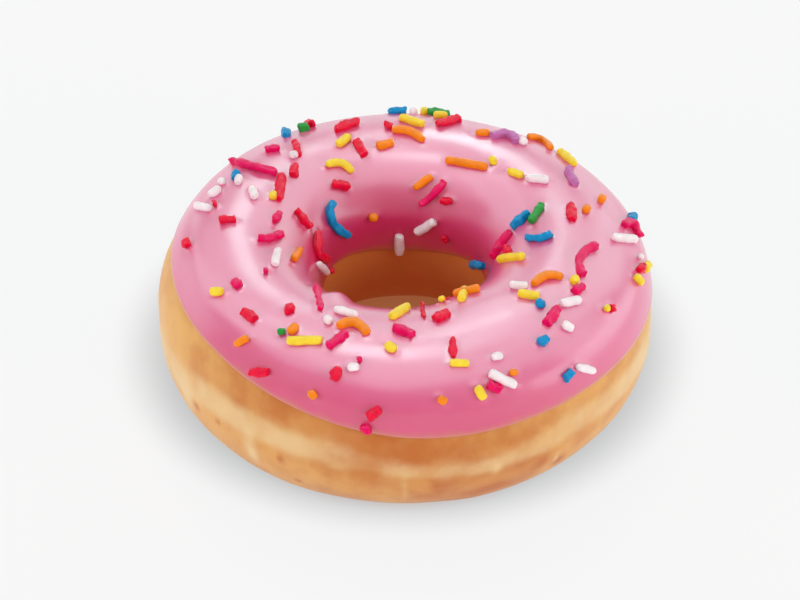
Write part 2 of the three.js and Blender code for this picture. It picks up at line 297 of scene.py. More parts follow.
@dataclass(frozen=True)
class Browning:
    """How deeply the dough is fried, and the pale band where it rose above the oil.

    Each row gives, at an azimuth, how brown the dough is above the band and below it, the turn of
    the band's middle, half its height and how pale it is. Near azimuth 270 the dough just below the
    icing is browner, partly from deeper frying and partly as painted shade under the icing's lip. The
    marks are paler than what is round them, or browner where their strength is negative.
    """

    rows: tuple[Row, ...] = (
        (0, 0.25, 0.30, 1, 9, 0.8), (40, 0.50, 0.45, 4, 7, 0.6), (80, 0.60, 0.60, 3, 6, 0.7),
        (120, 0.45, 0.50, 1, 7, 0.7), (160, 0.30, 0.30, 3, 8, 0.8), (195, 0.20, 0.15, -4, 14, 0.7),
        (207, 0.28, 0.25, -2, 11, 0.7), (213, 0.42, 0.30, 3, 9, 0.6), (225, 0.56, 0.34, 5, 9, 0.65),
        # Near azimuth 270 the brown above the band is partly painted shade under the icing's lip.
        (240, 0.70, 0.46, 3, 8, 0.65), (252, 0.80, 0.50, 2, 8, 0.6), (262, 1.00, 0.60, -1, 6, 0.4),
        (272, 1.00, 0.70, -5, 6, 0.5), (285, 0.75, 0.80, -6, 7, 0.55), (297, 0.60, 0.80, -5, 7, 0.5),
        (310, 0.45, 0.50, 1, 8, 0.6), (325, 0.35, 0.40, 1, 8, 0.7), (342, 0.30, 0.30, 0, 9, 0.9),
    )
    marks: tuple[Spot, ...] = (
        Spot(232, -17, 2.0, 15, 0.8), Spot(209, -12, 3.0, 12, 0.7), Spot(270, -22, 1.0, 14, 0.4),
        # The pale mark at azimuth 307 and turn -21 is a painted glint on the crust.
        Spot(255, -7, 3.0, 4, 0.3), Spot(307, -21, 0.8, 5, 0.7), Spot(291, -10, 1.0, 6, 0.3),
        Spot(213.5, -10, 1.3, 3, -0.7), Spot(222, -8, 0.9, 2.5, -0.5), Spot(240.5, -12, 0.9, 3, -0.6),
        Spot(244, -31, 1.0, 2, -0.6), Spot(308.5, -26, 1.5, 4, -0.6), Spot(292, -32, 5.0, 5, -0.5),
        Spot(278, -22, 2.0, 10, -0.3), Spot(303, -18, 1.5, 8, -0.3), Spot(60, -16, 2.0, 12, 0.6),
        Spot(110, -14, 1.5, 10, 0.5), Spot(146, -18, 1.5, 9, 0.5), Spot(95, -22, 3.0, 6, -0.5),
        Spot(90, 233, 30.0, 5, 0.7),
    )

    def fields(self, azimuth: Array, turn: Array) -> tuple[Array, Array]:
        """Spreads the browning over the dough.

        Args:
            azimuth: In degrees.
            turn: In degrees.

        Returns:
            How brown and how pale each place is.
        """
        table = np.array(self.rows)
        above, below, middle, half, pale = (
            np.interp(azimuth, table[:, 0], table[:, i], period=360) for i in range(1, 6)
        )
        brown = below + (above - below) * smoothstep(turn - middle, -half, half)
        paleness = pale * np.exp(-np.abs((turn - middle) / half) ** 3)
        for mark in self.marks:
            change = mark.at(azimuth, turn)
            paleness = paleness + np.maximum(change, 0)
            brown = brown - np.minimum(change, 0)
        return brown, paleness


@dataclass(frozen=True)
class FillZone:
    """A stretch of icing that the list of sprinkles leaves bare, and the cells it is cut into.

    It lies some degrees of turn away from the icing's outer edge, or from the one in the hole.
    """

    outer: bool
    azimuths: Pair
    away: Pair
    columns: int
    rows: int


@dataclass
class Draw:
    """A repeatable row of numbers between 0 and 1."""

    state: int
    factor: int = 16807
    limit: int = 2147483647

    def next(self) -> float:
        """The next number of the row."""
        self.state = (self.state * self.factor) % self.limit
        return self.state / self.limit


@dataclass(frozen=True)
class Stick:
    """A sprinkle: its middle line, and its thickness as a share of the usual one."""

    line: Array
    thickness: float


def thickness(places: Row) -> float:
    """The thickness that a row of places gives, or the usual one."""
    return places[-1] if len(places) % 2 else 1.0


@dataclass
class SprinkleLayout:
    """Where each sprinkle lies: the listed ones, and those that a seeded draw adds.

    A sprinkle's middle line lies at a height above the icing. It goes on past the given ends for a
    tip, which is longer where the sprinkle would otherwise be shorter than the shortest.
    """

    ring: RingForm
    icing: IcingForm
    radius: float = 0.8 * MM
    height: float = 0.6 * MM
    tip: float = 0.3 * MM
    tip_steps: Row = (0.0, 0.12, 0.3, 0.6)
    shortest: float = 1.6 * MM
    line_points: int = 24
    no_length: float = 1e-12
    bow: float = 0.12 * MM
    fill_seed: int = 2024
    fill_lengths: Pair = (1.5 * MM, 5 * MM)
    fill_jitter: float = 0.6
    fill_zones: tuple[FillZone, ...] = (
        FillZone(True, (50, 124), (6, 17), 9, 1),
        FillZone(False, (225, 315), (14, 42), 3, 2),
    )
    look_seed: int = 77

    def fill_places(self) -> list[Row]:
        """Draws the sprinkles of the fill zones.

        Returns:
            The azimuth and turn of the ends of each.
        """
        draw = Draw(self.fill_seed)
        places = []
        for zone in self.fill_zones:
            for cell in range(zone.columns * zone.rows):
                column = cell % zone.columns + 0.5 + self.fill_jitter * (draw.next() - 0.5)
                row = cell // zone.columns + 0.5 + self.fill_jitter * (draw.next() - 0.5)
                azimuth = float(np.interp(column / zone.columns, (0, 1), zone.azimuths))
                offset = float(np.interp(row / zone.rows, (0, 1), zone.away))
                if zone.outer:
                    turn = float(self.icing.outer_edge(azimuth)) + offset
                else:
                    turn = float(self.icing.inner_edge(azimuth)) - offset
                heading = math.pi * draw.next()
                half = float(np.interp(draw.next(), (0, 1), self.fill_lengths)) / 2
                place = self.ring.point(azimuth, turn)
                across = math.degrees(half * math.cos(heading) / math.hypot(place[0], place[1]))
                over = math.degrees(half * math.sin(heading) / self.ring.top_rise)
                places.append((azimuth - across, turn - over, azimuth + across, turn + over))
        return places

    def all_places(self) -> dict[Tint, list[Row]]:
        """Adds the drawn sprinkles to the listed ones.

        Returns:
            The places of all sprinkles, by colour.
        """
        draw = Draw(self.look_seed)
        places = {tint: list(listed) for tint, listed in SPRINKLES.items()}
        tints = [tint for tint, _ in FILL_MIX]
        limits = np.cumsum([share for _, share in FILL_MIX])
        for drawn in self.fill_places():
            places[tints[int(np.searchsorted(limits, draw.next()))]].append(drawn)
        return places

    def line(self, places: Row, bow: float) -> Array:
        """The middle line of a sprinkle, from tip to tip.

        Args:
            places: The azimuth and turn of its ends, and of its bend where it has one.
            bow: How far a straight sprinkle is bent sideways.

        Returns:
            Points along the line, closer together towards the tips.
        """
        turns = np.array(places[1::2], float)
        azimuths = np.array(places[0::2], float)[: len(turns)]
        lip_top = self.icing.clearance + self.icing.lip_thickness
        rest = np.maximum(self.icing.lift(azimuths, turns), lip_top)
        knots = self.ring.point(azimuths, turns, rest + self.height)
        start, end = knots[0], knots[-1]
        middle = (start + end) / 2
        if len(knots) == 3:
            control = 2 * knots[1] - middle
        else:
            sideways = np.cross(end - start, middle - np.array([*self.ring.middle, self.ring.belly_height]))
            control = middle + bow * sideways / max(np.linalg.norm(sideways), self.no_length)
        share = 0.5 - 0.5 * np.cos(np.linspace(0, math.pi, self.line_points))[:, None]
        line = (1 - share) ** 2 * start + 2 * share * (1 - share) * control + share**2 * end
        first, last = line[1] - line[0], line[-1] - line[-2]
        shortest = self.shortest * thickness(places)
        tip = max(self.tip, (shortest - np.linalg.norm(np.diff(line, axis=0), axis=1).sum()) / 2)
        first_tip = start - tip * first / np.linalg.norm(first)
        last_tip = end + tip * last / np.linalg.norm(last)
        steps = np.array(self.tip_steps)[:, None]
        head = first_tip + steps * (line[0] - first_tip)
        tail = (last_tip + steps * (line[-1] - last_tip))[::-1]
        return np.concatenate([head, line, tail])

    def sticks(self) -> dict[Tint, list[Stick]]:
        """Lays all the sprinkles. A seeded draw gives the straight ones a small bow.

        Returns:
            The sprinkles of each colour.
        """
        draw = Draw(self.look_seed + 1)
        return {
            tint: [Stick(self.line(row, self.bow * (2 * draw.next() - 1)), thickness(row)) for row in rows]
            for tint, rows in self.all_places().items()
        }


def add_object(name: str, data: bpy.types.ID) -> Piece:
    """Puts a mesh, a light or a camera into the scene, at the origin.

    Args:
        name: The object's name.
        data: What it shows.

    Returns:
        The new object.
    """
    made = bpy.data.objects.new(name, data)
    bpy.context.scene.collection.objects.link(made)
    return made


def mesh_object(name: str, points: Array, faces: list[tuple[int, ...]]) -> Piece:
    """Makes a mesh object at the origin.

    Args:
        name: The object's name.
        points: One row of x, y and z for each vertex.
        faces: The vertices of each face, anticlockwise seen from outside.

    Returns:
        The new object, smooth shaded.
    """
    mesh = bpy.data.meshes.new(name)
    mesh.from_pydata(points.tolist(), [], faces)
    mesh.polygons.foreach_set("use_smooth", np.ones(len(faces), bool))
    mesh.update()
    return add_object(name, mesh)


def closed_ring(name: str, rows: Array) -> Piece:
    """Makes a closed ring of quads.

    Args:
        name: The object's name.
        rows: Points in rows over the section and steps round the ring, both closing on themselves.

    Returns:
        The new object.
    """
    count, steps = rows.shape[:2]
    row, step = np.meshgrid(np.arange(count), np.arange(steps), indexing="ij")
    up, on = (row + 1) % count, (step + 1) % steps
    quads = np.stack([row * steps + step, row * steps + on, up * steps + on, up * steps + step], axis=-1)
    return mesh_object(name, rows.reshape(-1, 3), quads.reshape(-1, 4).tolist())


def add_attribute(mesh: bpy.types.Mesh, name: str, values: Array) -> None:
    """Stores one number for each vertex, whole where the given ones are.

    Args:
        mesh: The mesh.
        name: The attribute's name.
        values: The numbers, in the order of the vertices.
    """
    whole = np.issubdtype(values.dtype, np.integer)
    attribute = mesh.attributes.new(name, "INT" if whole else "FLOAT", "POINT")
    attribute.data.foreach_set("value", values.astype(np.int32 if whole else np.float32).ravel())


def linear(colour: Colour) -> Shade:
    """A colour as the shader's linear values, by the sRGB curve."""
    parts = [part / 255 for part in colour]
    return (*(p / 12.92 if p <= 0.04045 else ((p + 0.055) / 1.055) ** 2.4 for p in parts), 1.0)


class NodeTree:
    """A node tree under construction, for shaders and for shapes."""

    def __init__(self, tree: bpy.types.NodeTree) -> None:
        """Wraps the tree."""
        self.tree = tree

    def add(self, kind: str, inputs: dict[str | int, object] | None = None, **settings: object) -> Node:
        """Adds a node.

        Args:
            kind: The node's type name.
            inputs: The sockets or values that some of its inputs get, by name or by place.
            settings: Its properties, which are set first.

        Returns:
            The node.
        """
        node = self.tree.nodes.new(kind)
        for name, value in settings.items():
            setattr(node, name, value)
        for name, value in (inputs or {}).items():
            self.wire(value, node.inputs[name])
        return node

    def wire(self, value: object, socket: Socket) -> None:
        """Links a socket to another one, or sets it to a value.

        Args:
            value: The other socket, or the value.
            socket: The socket that gets it.
        """
        if isinstance(value, Socket):
            self.tree.links.new(value, socket)
        else:
            socket.default_value = value

    def math(self, operation: str, *values: object) -> Socket:
        """Adds a Math node on sockets or numbers and returns its output."""
        return self.add("ShaderNodeMath", dict(enumerate(values)), operation=operation).outputs[0]

    def vector_math(self, operation: str, *vectors: object) -> dict[str, Socket]:
        """Adds a Vector Math node on sockets or vectors and returns its outputs by name."""
        node = self.add("ShaderNodeVectorMath", dict(enumerate(vectors)), operation=operation)
        return dict(node.outputs.items())

    def scaled(self, vector: object, factor: object) -> Socket:
        """A vector times a number."""
        given = {0: vector, "Scale": factor}
        return self.add("ShaderNodeVectorMath", given, operation="SCALE").outputs[0]

    def parts(self, vector: object) -> list[Socket]:
        """A vector's x, y and z."""
        return list(self.add("ShaderNodeSeparateXYZ", {0: vector}).outputs)

    def noise(self, vector: object, size: object, detail: float, seed: object) -> Socket:
        """A noise value about 0.5 at each place.

        Args:
            vector: Where it is read.
            size: The length of its waves.
            detail: How many finer layers are added.
            seed: Which noise it is.

        Returns:
            The value's socket.
        """
        scale = self.math("DIVIDE", 1.0, size)
        given = {"Vector": vector, "W": seed, "Scale": scale, "Detail": detail}
        return self.add("ShaderNodeTexNoise", given, noise_dimensions="4D").outputs[0]

    def map_range(self, value: object, reach: tuple[object, object], onto: tuple[object, object]) -> Socket:
        """Maps a range of values smoothly onto another.

        Args:
            value: The value's socket.
            reach: The ends of its range.
            onto: What they become.

        Returns:
            The result's socket.
        """
        given = {
            "Value": value, "From Min": reach[0], "From Max": reach[1],
            "To Min": onto[0], "To Max": onto[1],
        }
        return self.add("ShaderNodeMapRange", given, interpolation_type="SMOOTHSTEP").outputs["Result"]

    def mix(self, factor: object, first: object, second: object) -> Socket:
        """Mixes two colours.

        Args:
            factor: The share of the second colour.
            first: A colour or its socket.
            second: A colour or its socket.

        Returns:
            The mixed colour's socket.
        """
        node = self.add("ShaderNodeMix", {0: factor}, data_type="RGBA")
        for colour, socket in zip((first, second), (s for s in node.inputs if s.type == "RGBA")):
            self.wire(colour, socket)
        return next(s for s in node.outputs if s.type == "RGBA")


class GroupTree(NodeTree):
    """A node group under construction, with its named inputs and one output."""

    number_types = {float: "NodeSocketFloat", int: "NodeSocketInt"}

    def __init__(self, name: str, kind: str, inputs: dict[str, object], output: str, made: str) -> None:
        """Makes the group.

        Args:
            name: The group's name.
            kind: The type of its tree.
            inputs: For each input its first value, or the name of its type.
            output: The name of its output.
            made: The output's type.
        """
        super().__init__(bpy.data.node_groups.new(name, kind))
        self.identifiers: dict[str, str] = {}
        sockets = self.tree.interface
        for label, value in inputs.items():
            is_type = isinstance(value, str)
            given = value if is_type else self.number_types[type(value)]
            socket = sockets.new_socket(name=label, in_out="INPUT", socket_type=given)
            if not is_type:
                socket.default_value = value
            self.identifiers[label] = socket.identifier
        sockets.new_socket(name=output, in_out="OUTPUT", socket_type=made)
        self.given = self.add("NodeGroupInput").outputs

    def close(self, result: Socket) -> bpy.types.NodeTree:
        """Gives the group its result and returns it."""
        self.add("NodeGroupOutput", {0: result})
        return self.tree


class ShapeTree(GroupTree):
    """A Geometry Nodes tree that makes a piece's finished shape."""

    def __init__(self, name: str, inputs: dict[str, object]) -> None:
        """Makes the tree. Inputs for the shape and its material are added to the given ones."""
        ends = {"Geometry": "NodeSocketGeometry", "Material": "NodeSocketMaterial"}
        super().__init__(name, "GeometryNodeTree", {**ends, **inputs}, "Geometry", "NodeSocketGeometry")

    def drawn(self, low: object, high: object, row: int) -> Socket:
        """A random number for each stick, the same all over it.

        Args:
            low: The least value.
            high: The greatest value.
            row: Which row of random numbers it is.

        Returns:
            The number's socket.
        """
        number = self.add("GeometryNodeInputNamedAttribute", {"Name": "stick"}, data_type="INT")
        seed = self.math("ADD", self.given["Seed"], row)
        given = {"ID": number.outputs[0], "Seed": seed}
        node = self.add("FunctionNodeRandomValue", given, data_type="FLOAT")
        limits = (s for s in node.inputs if s.type == "VALUE" and s.enabled)
        for value, socket in zip((low, high), limits):
            self.wire(value, socket)
        return next(s for s in node.outputs if s.enabled and s.type == "VALUE")

    def relief(self, place: Socket, size: Socket, detail: float, depth: Socket) -> Socket:
        """Soft hills and dents.

        Args:
            place: Where they are read.
            size: How far apart they are.
            detail: How many finer layers are added.
            depth: From the deepest dent to the highest hill, at most.

        Returns:
            The height's socket.
        """
        value = self.noise(place, size, detail, self.given["Seed"])
        return self.math("MULTIPLY", self.math("SUBTRACT", value, 0.5), depth)

    def shifted(self, shape: Socket, offset: Socket) -> Socket:
        """The shape with its points moved."""
        return self.add("GeometryNodeSetPosition", {"Geometry": shape, "Offset": offset}).outputs[0]

    def finish(self, shape: Socket, height: Socket) -> ShapeTree:
        """Ends the tree: raises the surface, makes instances real, and gives it its material.

        Args:
            shape: What the tree has made.
            height: How far each point moves out along its normal.

        Returns:
            The tree.
        """
        normal = self.add("GeometryNodeInputNormal").outputs[0]
        raised = self.shifted(shape, self.scaled(normal, height))
        real = self.add("GeometryNodeRealizeInstances", {0: raised}).outputs[0]
        smooth = self.add("GeometryNodeSetShadeSmooth", {"Geometry": real}).outputs[0]
        given = {"Geometry": smooth, "Material": self.given["Material"]}
        self.close(self.add("GeometryNodeSetMaterial", given).outputs[0])
        return self

    def apply(self, piece: Piece, name: str, **values: object) -> Piece:
        """Turns what the tree makes of a piece into a plain mesh object.

        Args:
            piece: The object that the tree starts from. It is removed.
            name: The name of the finished piece.
            values: The tree's inputs, in small letters and with underscores for spaces.

        Returns:
            The finished piece, at the origin.
        """
        modifier = piece.modifiers.new("shape", "NODES")
        modifier.node_group = self.tree
        for key, value in values.items():
            modifier[self.identifiers[key.replace("_", " ").title()]] = value
        graph = bpy.context.evaluated_depsgraph_get()
        mesh = bpy.data.meshes.new_from_object(piece.evaluated_get(graph))
        piece.modifiers.remove(modifier)
        bpy.data.objects.remove(piece)
        mesh.name = name
        return add_object(name, mesh)


# The relief fades out over this height above the table, so that the dough rests on a flat side.
RESTING_HEIGHT = 3 * MM


@dataclass(frozen=True)
class Relief:
    """The soft lumps and finer wrinkles of a surface. The wrinkles can be stretched upwards."""

    seed: float
    lump_size: float
    lump_depth: float
    wrinkle_size: float = 2 * MM
    wrinkle_depth: float = 0.0
    wrinkle_stretch: float = 1.0


def relief_tree() -> ShapeTree:
    """Makes the tree that gives a smooth surface its relief.

    Returns:
        The tree, whose inputs are those of Relief.
    """
    tree = ShapeTree("relief", {
        "Lump Size": 10 * MM, "Lump Depth": 0.0, "Wrinkle Size": 2 * MM, "Wrinkle Depth": 0.0,
        "Wrinkle Stretch": 1.0, "Seed": 0.0,
    })
    given = tree.given
    place = tree.add("GeometryNodeInputPosition").outputs[0]
    lower = tree.math("DIVIDE", 1.0, given["Wrinkle Stretch"])
    squeeze = tree.add("ShaderNodeCombineXYZ", {0: 1.0, 1: 1.0, 2: lower}).outputs[0]
    squeezed = tree.vector_math("MULTIPLY", place, squeeze)["Vector"]
    lumps = tree.relief(place, given["Lump Size"], 1.0, given["Lump Depth"])
    wrinkles = tree.relief(squeezed, given["Wrinkle Size"], 2.0, given["Wrinkle Depth"])
    free = tree.map_range(tree.parts(place)[2], (0.0, RESTING_HEIGHT), (0.0, 1.0))
    return tree.finish(given["Geometry"], tree.math("MULTIPLY", tree.math("ADD", lumps, wrinkles), free))


class StickRow(IntEnum):
    """The rows of random numbers that the sticks draw from."""

    END = 0
    WIDTH = 50
    BELLY = 90
    TILT = 130


def stick_width(tree: ShapeTree) -> Socket:
    """Gives a stick round or blunt ends, its own thickness and a belly.

    Args:
        tree: The tree of the sticks.

    Returns:
        The socket of its width at each place on its line.
    """
    given = tree.given
    along = tree.add("GeometryNodeSplineParameter").outputs["Length"]
    whole = tree.add("GeometryNodeSplineLength").outputs["Length"]
    to_tip = tree.math("MINIMUM", along, tree.math("SUBTRACT", whole, along))
    share = tree.math("MINIMUM", tree.math("DIVIDE", to_tip, given["Tip Round"]), 1.0)
    missing = tree.math("SUBTRACT", 1.0, share)
    bulge = tree.math("SQRT", tree.math("SUBTRACT", 1.0, tree.math("MULTIPLY", missing, missing)))
    end = tree.drawn(given["Round End"], given["Blunt End"], StickRow.END)
    taper = tree.add("ShaderNodeMapRange", {"Value": bulge, "To Min": end}).outputs["Result"]
    thinnest = tree.math("SUBTRACT", 1.0, given["Radius Spread"])
    thickest = tree.math("ADD", 1.0, given["Radius Spread"])
    spread = tree.drawn(thinnest, thickest, StickRow.WIDTH)
    belly = tree.drawn(0.0, given["Belly"], StickRow.BELLY)
    halves = tree.math("DIVIDE", tree.math("MULTIPLY", along, 2.0), whole)
    off_middle = tree.math("SUBTRACT", halves, 1.0)
    narrowed = tree.math("MULTIPLY", belly, tree.math("MULTIPLY", off_middle, off_middle))
    usual = tree.add("GeometryNodeInputNamedAttribute", {"Name": "thickness"}, data_type="FLOAT")
    width = tree.math("MULTIPLY", usual.outputs[0], tree.math("SUBTRACT", spread, narrowed))
    return tree.math("MULTIPLY", taper, width)


def stick_section(tree: ShapeTree) -> Socket:
    """Makes a stick's section: a circle with shallow grooves.

    Args:
        tree: The tree of the sticks.

    Returns:
        The socket of the section's curve.
    """
    given = tree.given
    size = {"Resolution": given["Sides"], "Radius": given["Radius"]}
    circle = tree.add("GeometryNodeCurvePrimitiveCircle", size, mode="RADIUS").outputs[0]
    rim = tree.add("GeometryNodeInputPosition").outputs[0]
    x, y, _ = tree.parts(rim)
    ridge = tree.math("COSINE", tree.math("MULTIPLY", tree.math("ARCTAN2", y, x), given["Grooves"]))
    return tree.shifted(circle, tree.scaled(rim, tree.math("MULTIPLY", ridge, given["Groove Depth"])))


def stick_tree() -> ShapeTree:
    """Makes the tree that turns middle lines into sprinkles: blunt, uneven sticks.

    Returns:
        The tree, whose inputs are those of StickShape, the radius and the seed.
    """
    tree = ShapeTree("sticks", {
        "Radius": 0.9 * MM, "Radius Spread": 0.08, "Belly": 0.2, "Tip Round": 0.5 * MM,
        "Blunt End": 0.6, "Round End": 0.2, "Lump Size": 1.2 * MM, "Lump Depth": 0.1 * MM,
        "Crease Size": 0.6 * MM, "Crease Depth": 0.0, "Grooves": 4.0, "Groove Depth": 0.0,
        "Sides": 12, "Seed": 0,
    })
    given = tree.given
    curves = tree.add("GeometryNodeMeshToCurve", {0: given["Geometry"]}).outputs[0]
    tilt = tree.drawn(0.0, math.tau, StickRow.TILT)
    turned = tree.add("GeometryNodeSetCurveTilt", {"Curve": curves, "Tilt": tilt}).outputs[0]
    swept = tree.add("GeometryNodeCurveToMesh", {
        "Curve": turned, "Profile Curve": stick_section(tree), "Scale": stick_width(tree), "Fill Caps": True,
    })
    place = tree.add("GeometryNodeInputPosition").outputs[0]
    lumps = tree.relief(place, given["Lump Size"], 1.0, given["Lump Depth"])
    creases = tree.relief(place, given["Crease Size"], 1.0, given["Crease Depth"])
    return tree.finish(swept.outputs[0], tree.math("ADD", lumps, creases))


# How many finer layers the noise of the shader groups has, and the part of its range that counts.
SHADER_DETAIL = 3.0
NOISE_REACH = (0.3, 0.7)


def mottle_group() -> bpy.types.NodeTree:
    """Makes the shader group for uneven colour: a soft value that varies over the surface.

    Returns:
        The group.
    """
    given = {"Vector": "NodeSocketVector", "Size": 5 * MM, "Low": 0.0, "High": 1.0, "Seed": 0.0}
    group = GroupTree("mottle", "ShaderNodeTree", given, "Value", "NodeSocketFloat")
    vector, size, low, high, seed = (group.given[name] for name in given)
    drawn = group.noise(vector, size, SHADER_DETAIL, seed)
    return group.close(group.map_range(drawn, NOISE_REACH, (low, high)))


def grain_group() -> bpy.types.NodeTree:
    """Makes the shader group for fine relief: a normal bent by small bumps.

    Returns:
        The group.
    """
    given = {"Vector": "NodeSocketVector", "Size": 0.5 * MM, "Depth": 0.05 * MM, "Seed": 0.0}
    group = GroupTree("grain", "ShaderNodeTree", given, "Normal", "NodeSocketVector")
    vector, size, depth, seed = (group.given[name] for name in given)
    height = group.noise(vector, size, SHADER_DETAIL, seed)
    bump = group.add("ShaderNodeBump", {"Strength": 1.0, "Distance": depth, "Height": height})
    return group.close(bump.outputs[0])


@dataclass(frozen=True)
class Surface:
    """The constants of a Principled surface."""

    roughness: float
    subsurface: float = 0.0
    subsurface_radius: Triple = (1.0, 0.5, 0.3)
    subsurface_depth: float = 1 * MM
    specular: float = 0.5
    coat: float = 0.0
    coat_roughness: float = 0.1
    coat_ior: float = 1.5

    def constants(self) -> dict[str, object]:
        """The constants, by the names of the shader's sockets."""
        return {
            "Roughness": self.roughness,
            "Subsurface Weight": self.subsurface,
            "Subsurface Radius": self.subsurface_radius,
            "Subsurface Scale": self.subsurface_depth,
            "Specular IOR Level": self.specular,
            "Coat Weight": self.coat,
            "Coat Roughness": self.coat_roughness,
            "Coat IOR": self.coat_ior,
        }


class Paint(NodeTree):
    """A material under construction: its tree, its Principled node and the place on the piece."""

    def __init__(self, name: str, surface: Surface) -> None:
        """Starts a material.

        Args:
            name: The material's name.
            surface: The constants of its Principled node.
        """
        self.material = bpy.data.materials.new(name)
        self.material.use_nodes = True
        super().__init__(self.material.node_tree)
        self.tree.nodes.clear()
        self.principled = self.add("ShaderNodeBsdfPrincipled", surface.constants())
        self.add("ShaderNodeOutputMaterial", {"Surface": self.principled.outputs[0]})
        self.place = self.add("ShaderNodeTexCoord").outputs["Object"]

    def stored(self, *names: str) -> list[Socket]:
        """The numbers that the mesh holds under the given names."""
        return [self.add("ShaderNodeAttribute", attribute_name=name).outputs["Fac"] for name in names]

    def show(self, name: str, value: object) -> None:
        """Gives an input of the Principled node its socket or value."""
        self.wire(value, self.principled.inputs[name])


@dataclass(frozen=True)
class Mottle:
    """An uneven value over a surface: the size of its patches, its reach and its seed."""

    size: float
    low: float
    high: float
    seed: float


@dataclass(frozen=True)
class Grain:
    """Fine relief: the size of its bumps, their depth and its seed."""

    size: float
    depth: float
    seed: float


@dataclass
class Effects:
    """The shader groups that several finishes share."""

    mottle: bpy.types.NodeTree = field(default_factory=mottle_group)
    grain: bpy.types.NodeTree = field(default_factory=grain_group)

    def mottled(self, paint: Paint, look: Mottle) -> Socket:
        """Adds an uneven value to a material.

        Args:
            paint: The material.
            look: The value's look.

        Returns:
            The value's socket.
        """
        given = {
            "Vector": paint.place, "Size": look.size, "Low": look.low, "High": look.high, "Seed": look.seed,
        }
        return paint.add("ShaderNodeGroup", given, node_tree=self.mottle).outputs[0]

    def roughen(self, paint: Paint, look: Grain) -> None:
        """Gives a material fine relief."""
        given = {"Vector": paint.place, "Size": look.size, "Depth": look.depth, "Seed": look.seed}
        paint.show("Normal", paint.add("ShaderNodeGroup", given, node_tree=self.grain).outputs[0])


class Finish:
    """A finish of the doughnut, which turns its colours into a material."""

    name: str
    surface: Surface

    def material(self, effects: Effects) -> bpy.types.Material:
        """Makes the material.

        Args:
            effects: The shared shader groups.

        Returns:
            The material.
        """
        paint = Paint(self.name, self.surface)
        self.colour(paint, effects)
        return paint.material

    def colour(self, paint: Paint, effects: Effects) -> None:
        """Gives a started material its colours and its relief.

        Args:
            paint: The started material.
            effects: The shared shader groups.
        """
        raise NotImplementedError


@dataclass(frozen=True)
class DoughFinish(Finish):
    """Fried dough: light to deep gold, cream where it is pale, reddish brown in the hole."""

    name: str = "fried_dough"
    surface: Surface = Surface(roughness=0.42, subsurface=0.15, subsurface_radius=(1.0, 0.5, 0.25))
    light: Colour = (233, 175, 94)
    brown: Colour = (192, 102, 22)
    cream: Colour = (231, 194, 138)
    # Inside the hole the dough is darker and redder: partly its own colour, partly painted shade.
    hole: Colour = (222, 136, 66)
    hole_rim: Colour = (240, 190, 130)
    underside: Colour = (180, 104, 54)
    brown_patches: Mottle = Mottle(6 * MM, -0.17, 0.17, 11.0)
    brown_reach: Pair = (-0.1, 1.1)
    pale_patches: Mottle = Mottle(6 * MM, -0.15, 0.15, 3.0)
    pale_reach: Pair = (-0.05, 1.05)
    grain: Grain = Grain(0.8 * MM, 0.05 * MM, 5.0)

    def colour(self, paint: Paint, effects: Effects) -> None:
        """Browns the dough in patches, with its pale band and its marks.

        Args:
            paint: The started material.
            effects: The shared shader groups.
        """
        brown, pale, inside, under = paint.stored("brown", "pale", "inside", "under")
        browned = paint.math("ADD", brown, effects.mottled(paint, self.brown_patches))
        ragged = paint.math("ADD", pale, effects.mottled(paint, self.pale_patches))
        depth = paint.map_range(browned, self.brown_reach, (0.0, 1.0))
        shown = paint.map_range(ragged, self.pale_reach, (0.0, 1.0))
        golden = paint.mix(depth, linear(self.light), linear(self.brown))
        banded = paint.mix(shown, golden, linear(self.cream))
        # The hole's darker, redder wall is partly painted shade.
        wall = paint.mix(shown, linear(self.hole), linear(self.hole_rim))
        holed = paint.mix(inside, banded, wall)
        paint.show("Base Color", paint.mix(under, holed, linear(self.underside)))
        effects.roughen(paint, self.grain)


@dataclass(frozen=True)
class IcingFinish(Finish):
    """Sugar icing: deep pink, glossy, thin and a little brown along its edge."""

    name: str = "pink_icing"
    surface: Surface = Surface(
        roughness=0.38, subsurface=0.3, subsurface_radius=(1.0, 0.45, 0.55), subsurface_depth=0.9 * MM,
        specular=1.0, coat=1.0, coat_roughness=0.24, coat_ior=1.6,
    )
    body: Colour = (225, 87, 138)
    # The deeper pink of the painted shade.
    deep: Colour = (212, 32, 98)
    outer_edge: Colour = (204, 100, 74)
    inner_edge: Colour = (200, 80, 62)
    cloud: Mottle = Mottle(9 * MM, -0.06, 0.06, 2.0)
    edge_wander: Mottle = Mottle(3 * MM, -1.0, 1.0, 8.0)
    edge_turns: Pair = (0.0, 6.5)

    def colour(self, paint: Paint, effects: Effects) -> None:
        """Paints shade into the pink in the hole and low on the front, and thins it along a wandering edge.

        Args:
            paint: The started material.
            effects: The shared shader groups.
        """
        from_edge, inside, pooled = paint.stored("from_edge", "inside", "pooled")
        # The painted shade, mottled a little, deepens the pink.
        clouded = paint.math("ADD", pooled, effects.mottled(paint, self.cloud))
        tinted = paint.mix(clouded, linear(self.body), linear(self.deep))
        wandering = paint.math("ADD", from_edge, effects.mottled(paint, self.edge_wander))
        thin = paint.map_range(wandering, self.edge_turns, (1.0, 0.0))
        edge = paint.mix(inside, linear(self.outer_edge), linear(self.inner_edge))
        paint.show("Base Color", paint.mix(thin, tinted, edge))


SPRINKLE_COLOURS: dict[Tint, Colour] = {
    Tint.RED: (240, 2, 58),
    Tint.PINK: (238, 0, 98),
    Tint.ORANGE: (255, 142, 20),
    Tint.YELLOW: (255, 222, 58),
    Tint.WHITE: (254, 240, 242),
    Tint.BLUE: (0, 144, 204),
    Tint.GREEN: (46, 152, 58),
    Tint.PURPLE: (204, 116, 178),
}


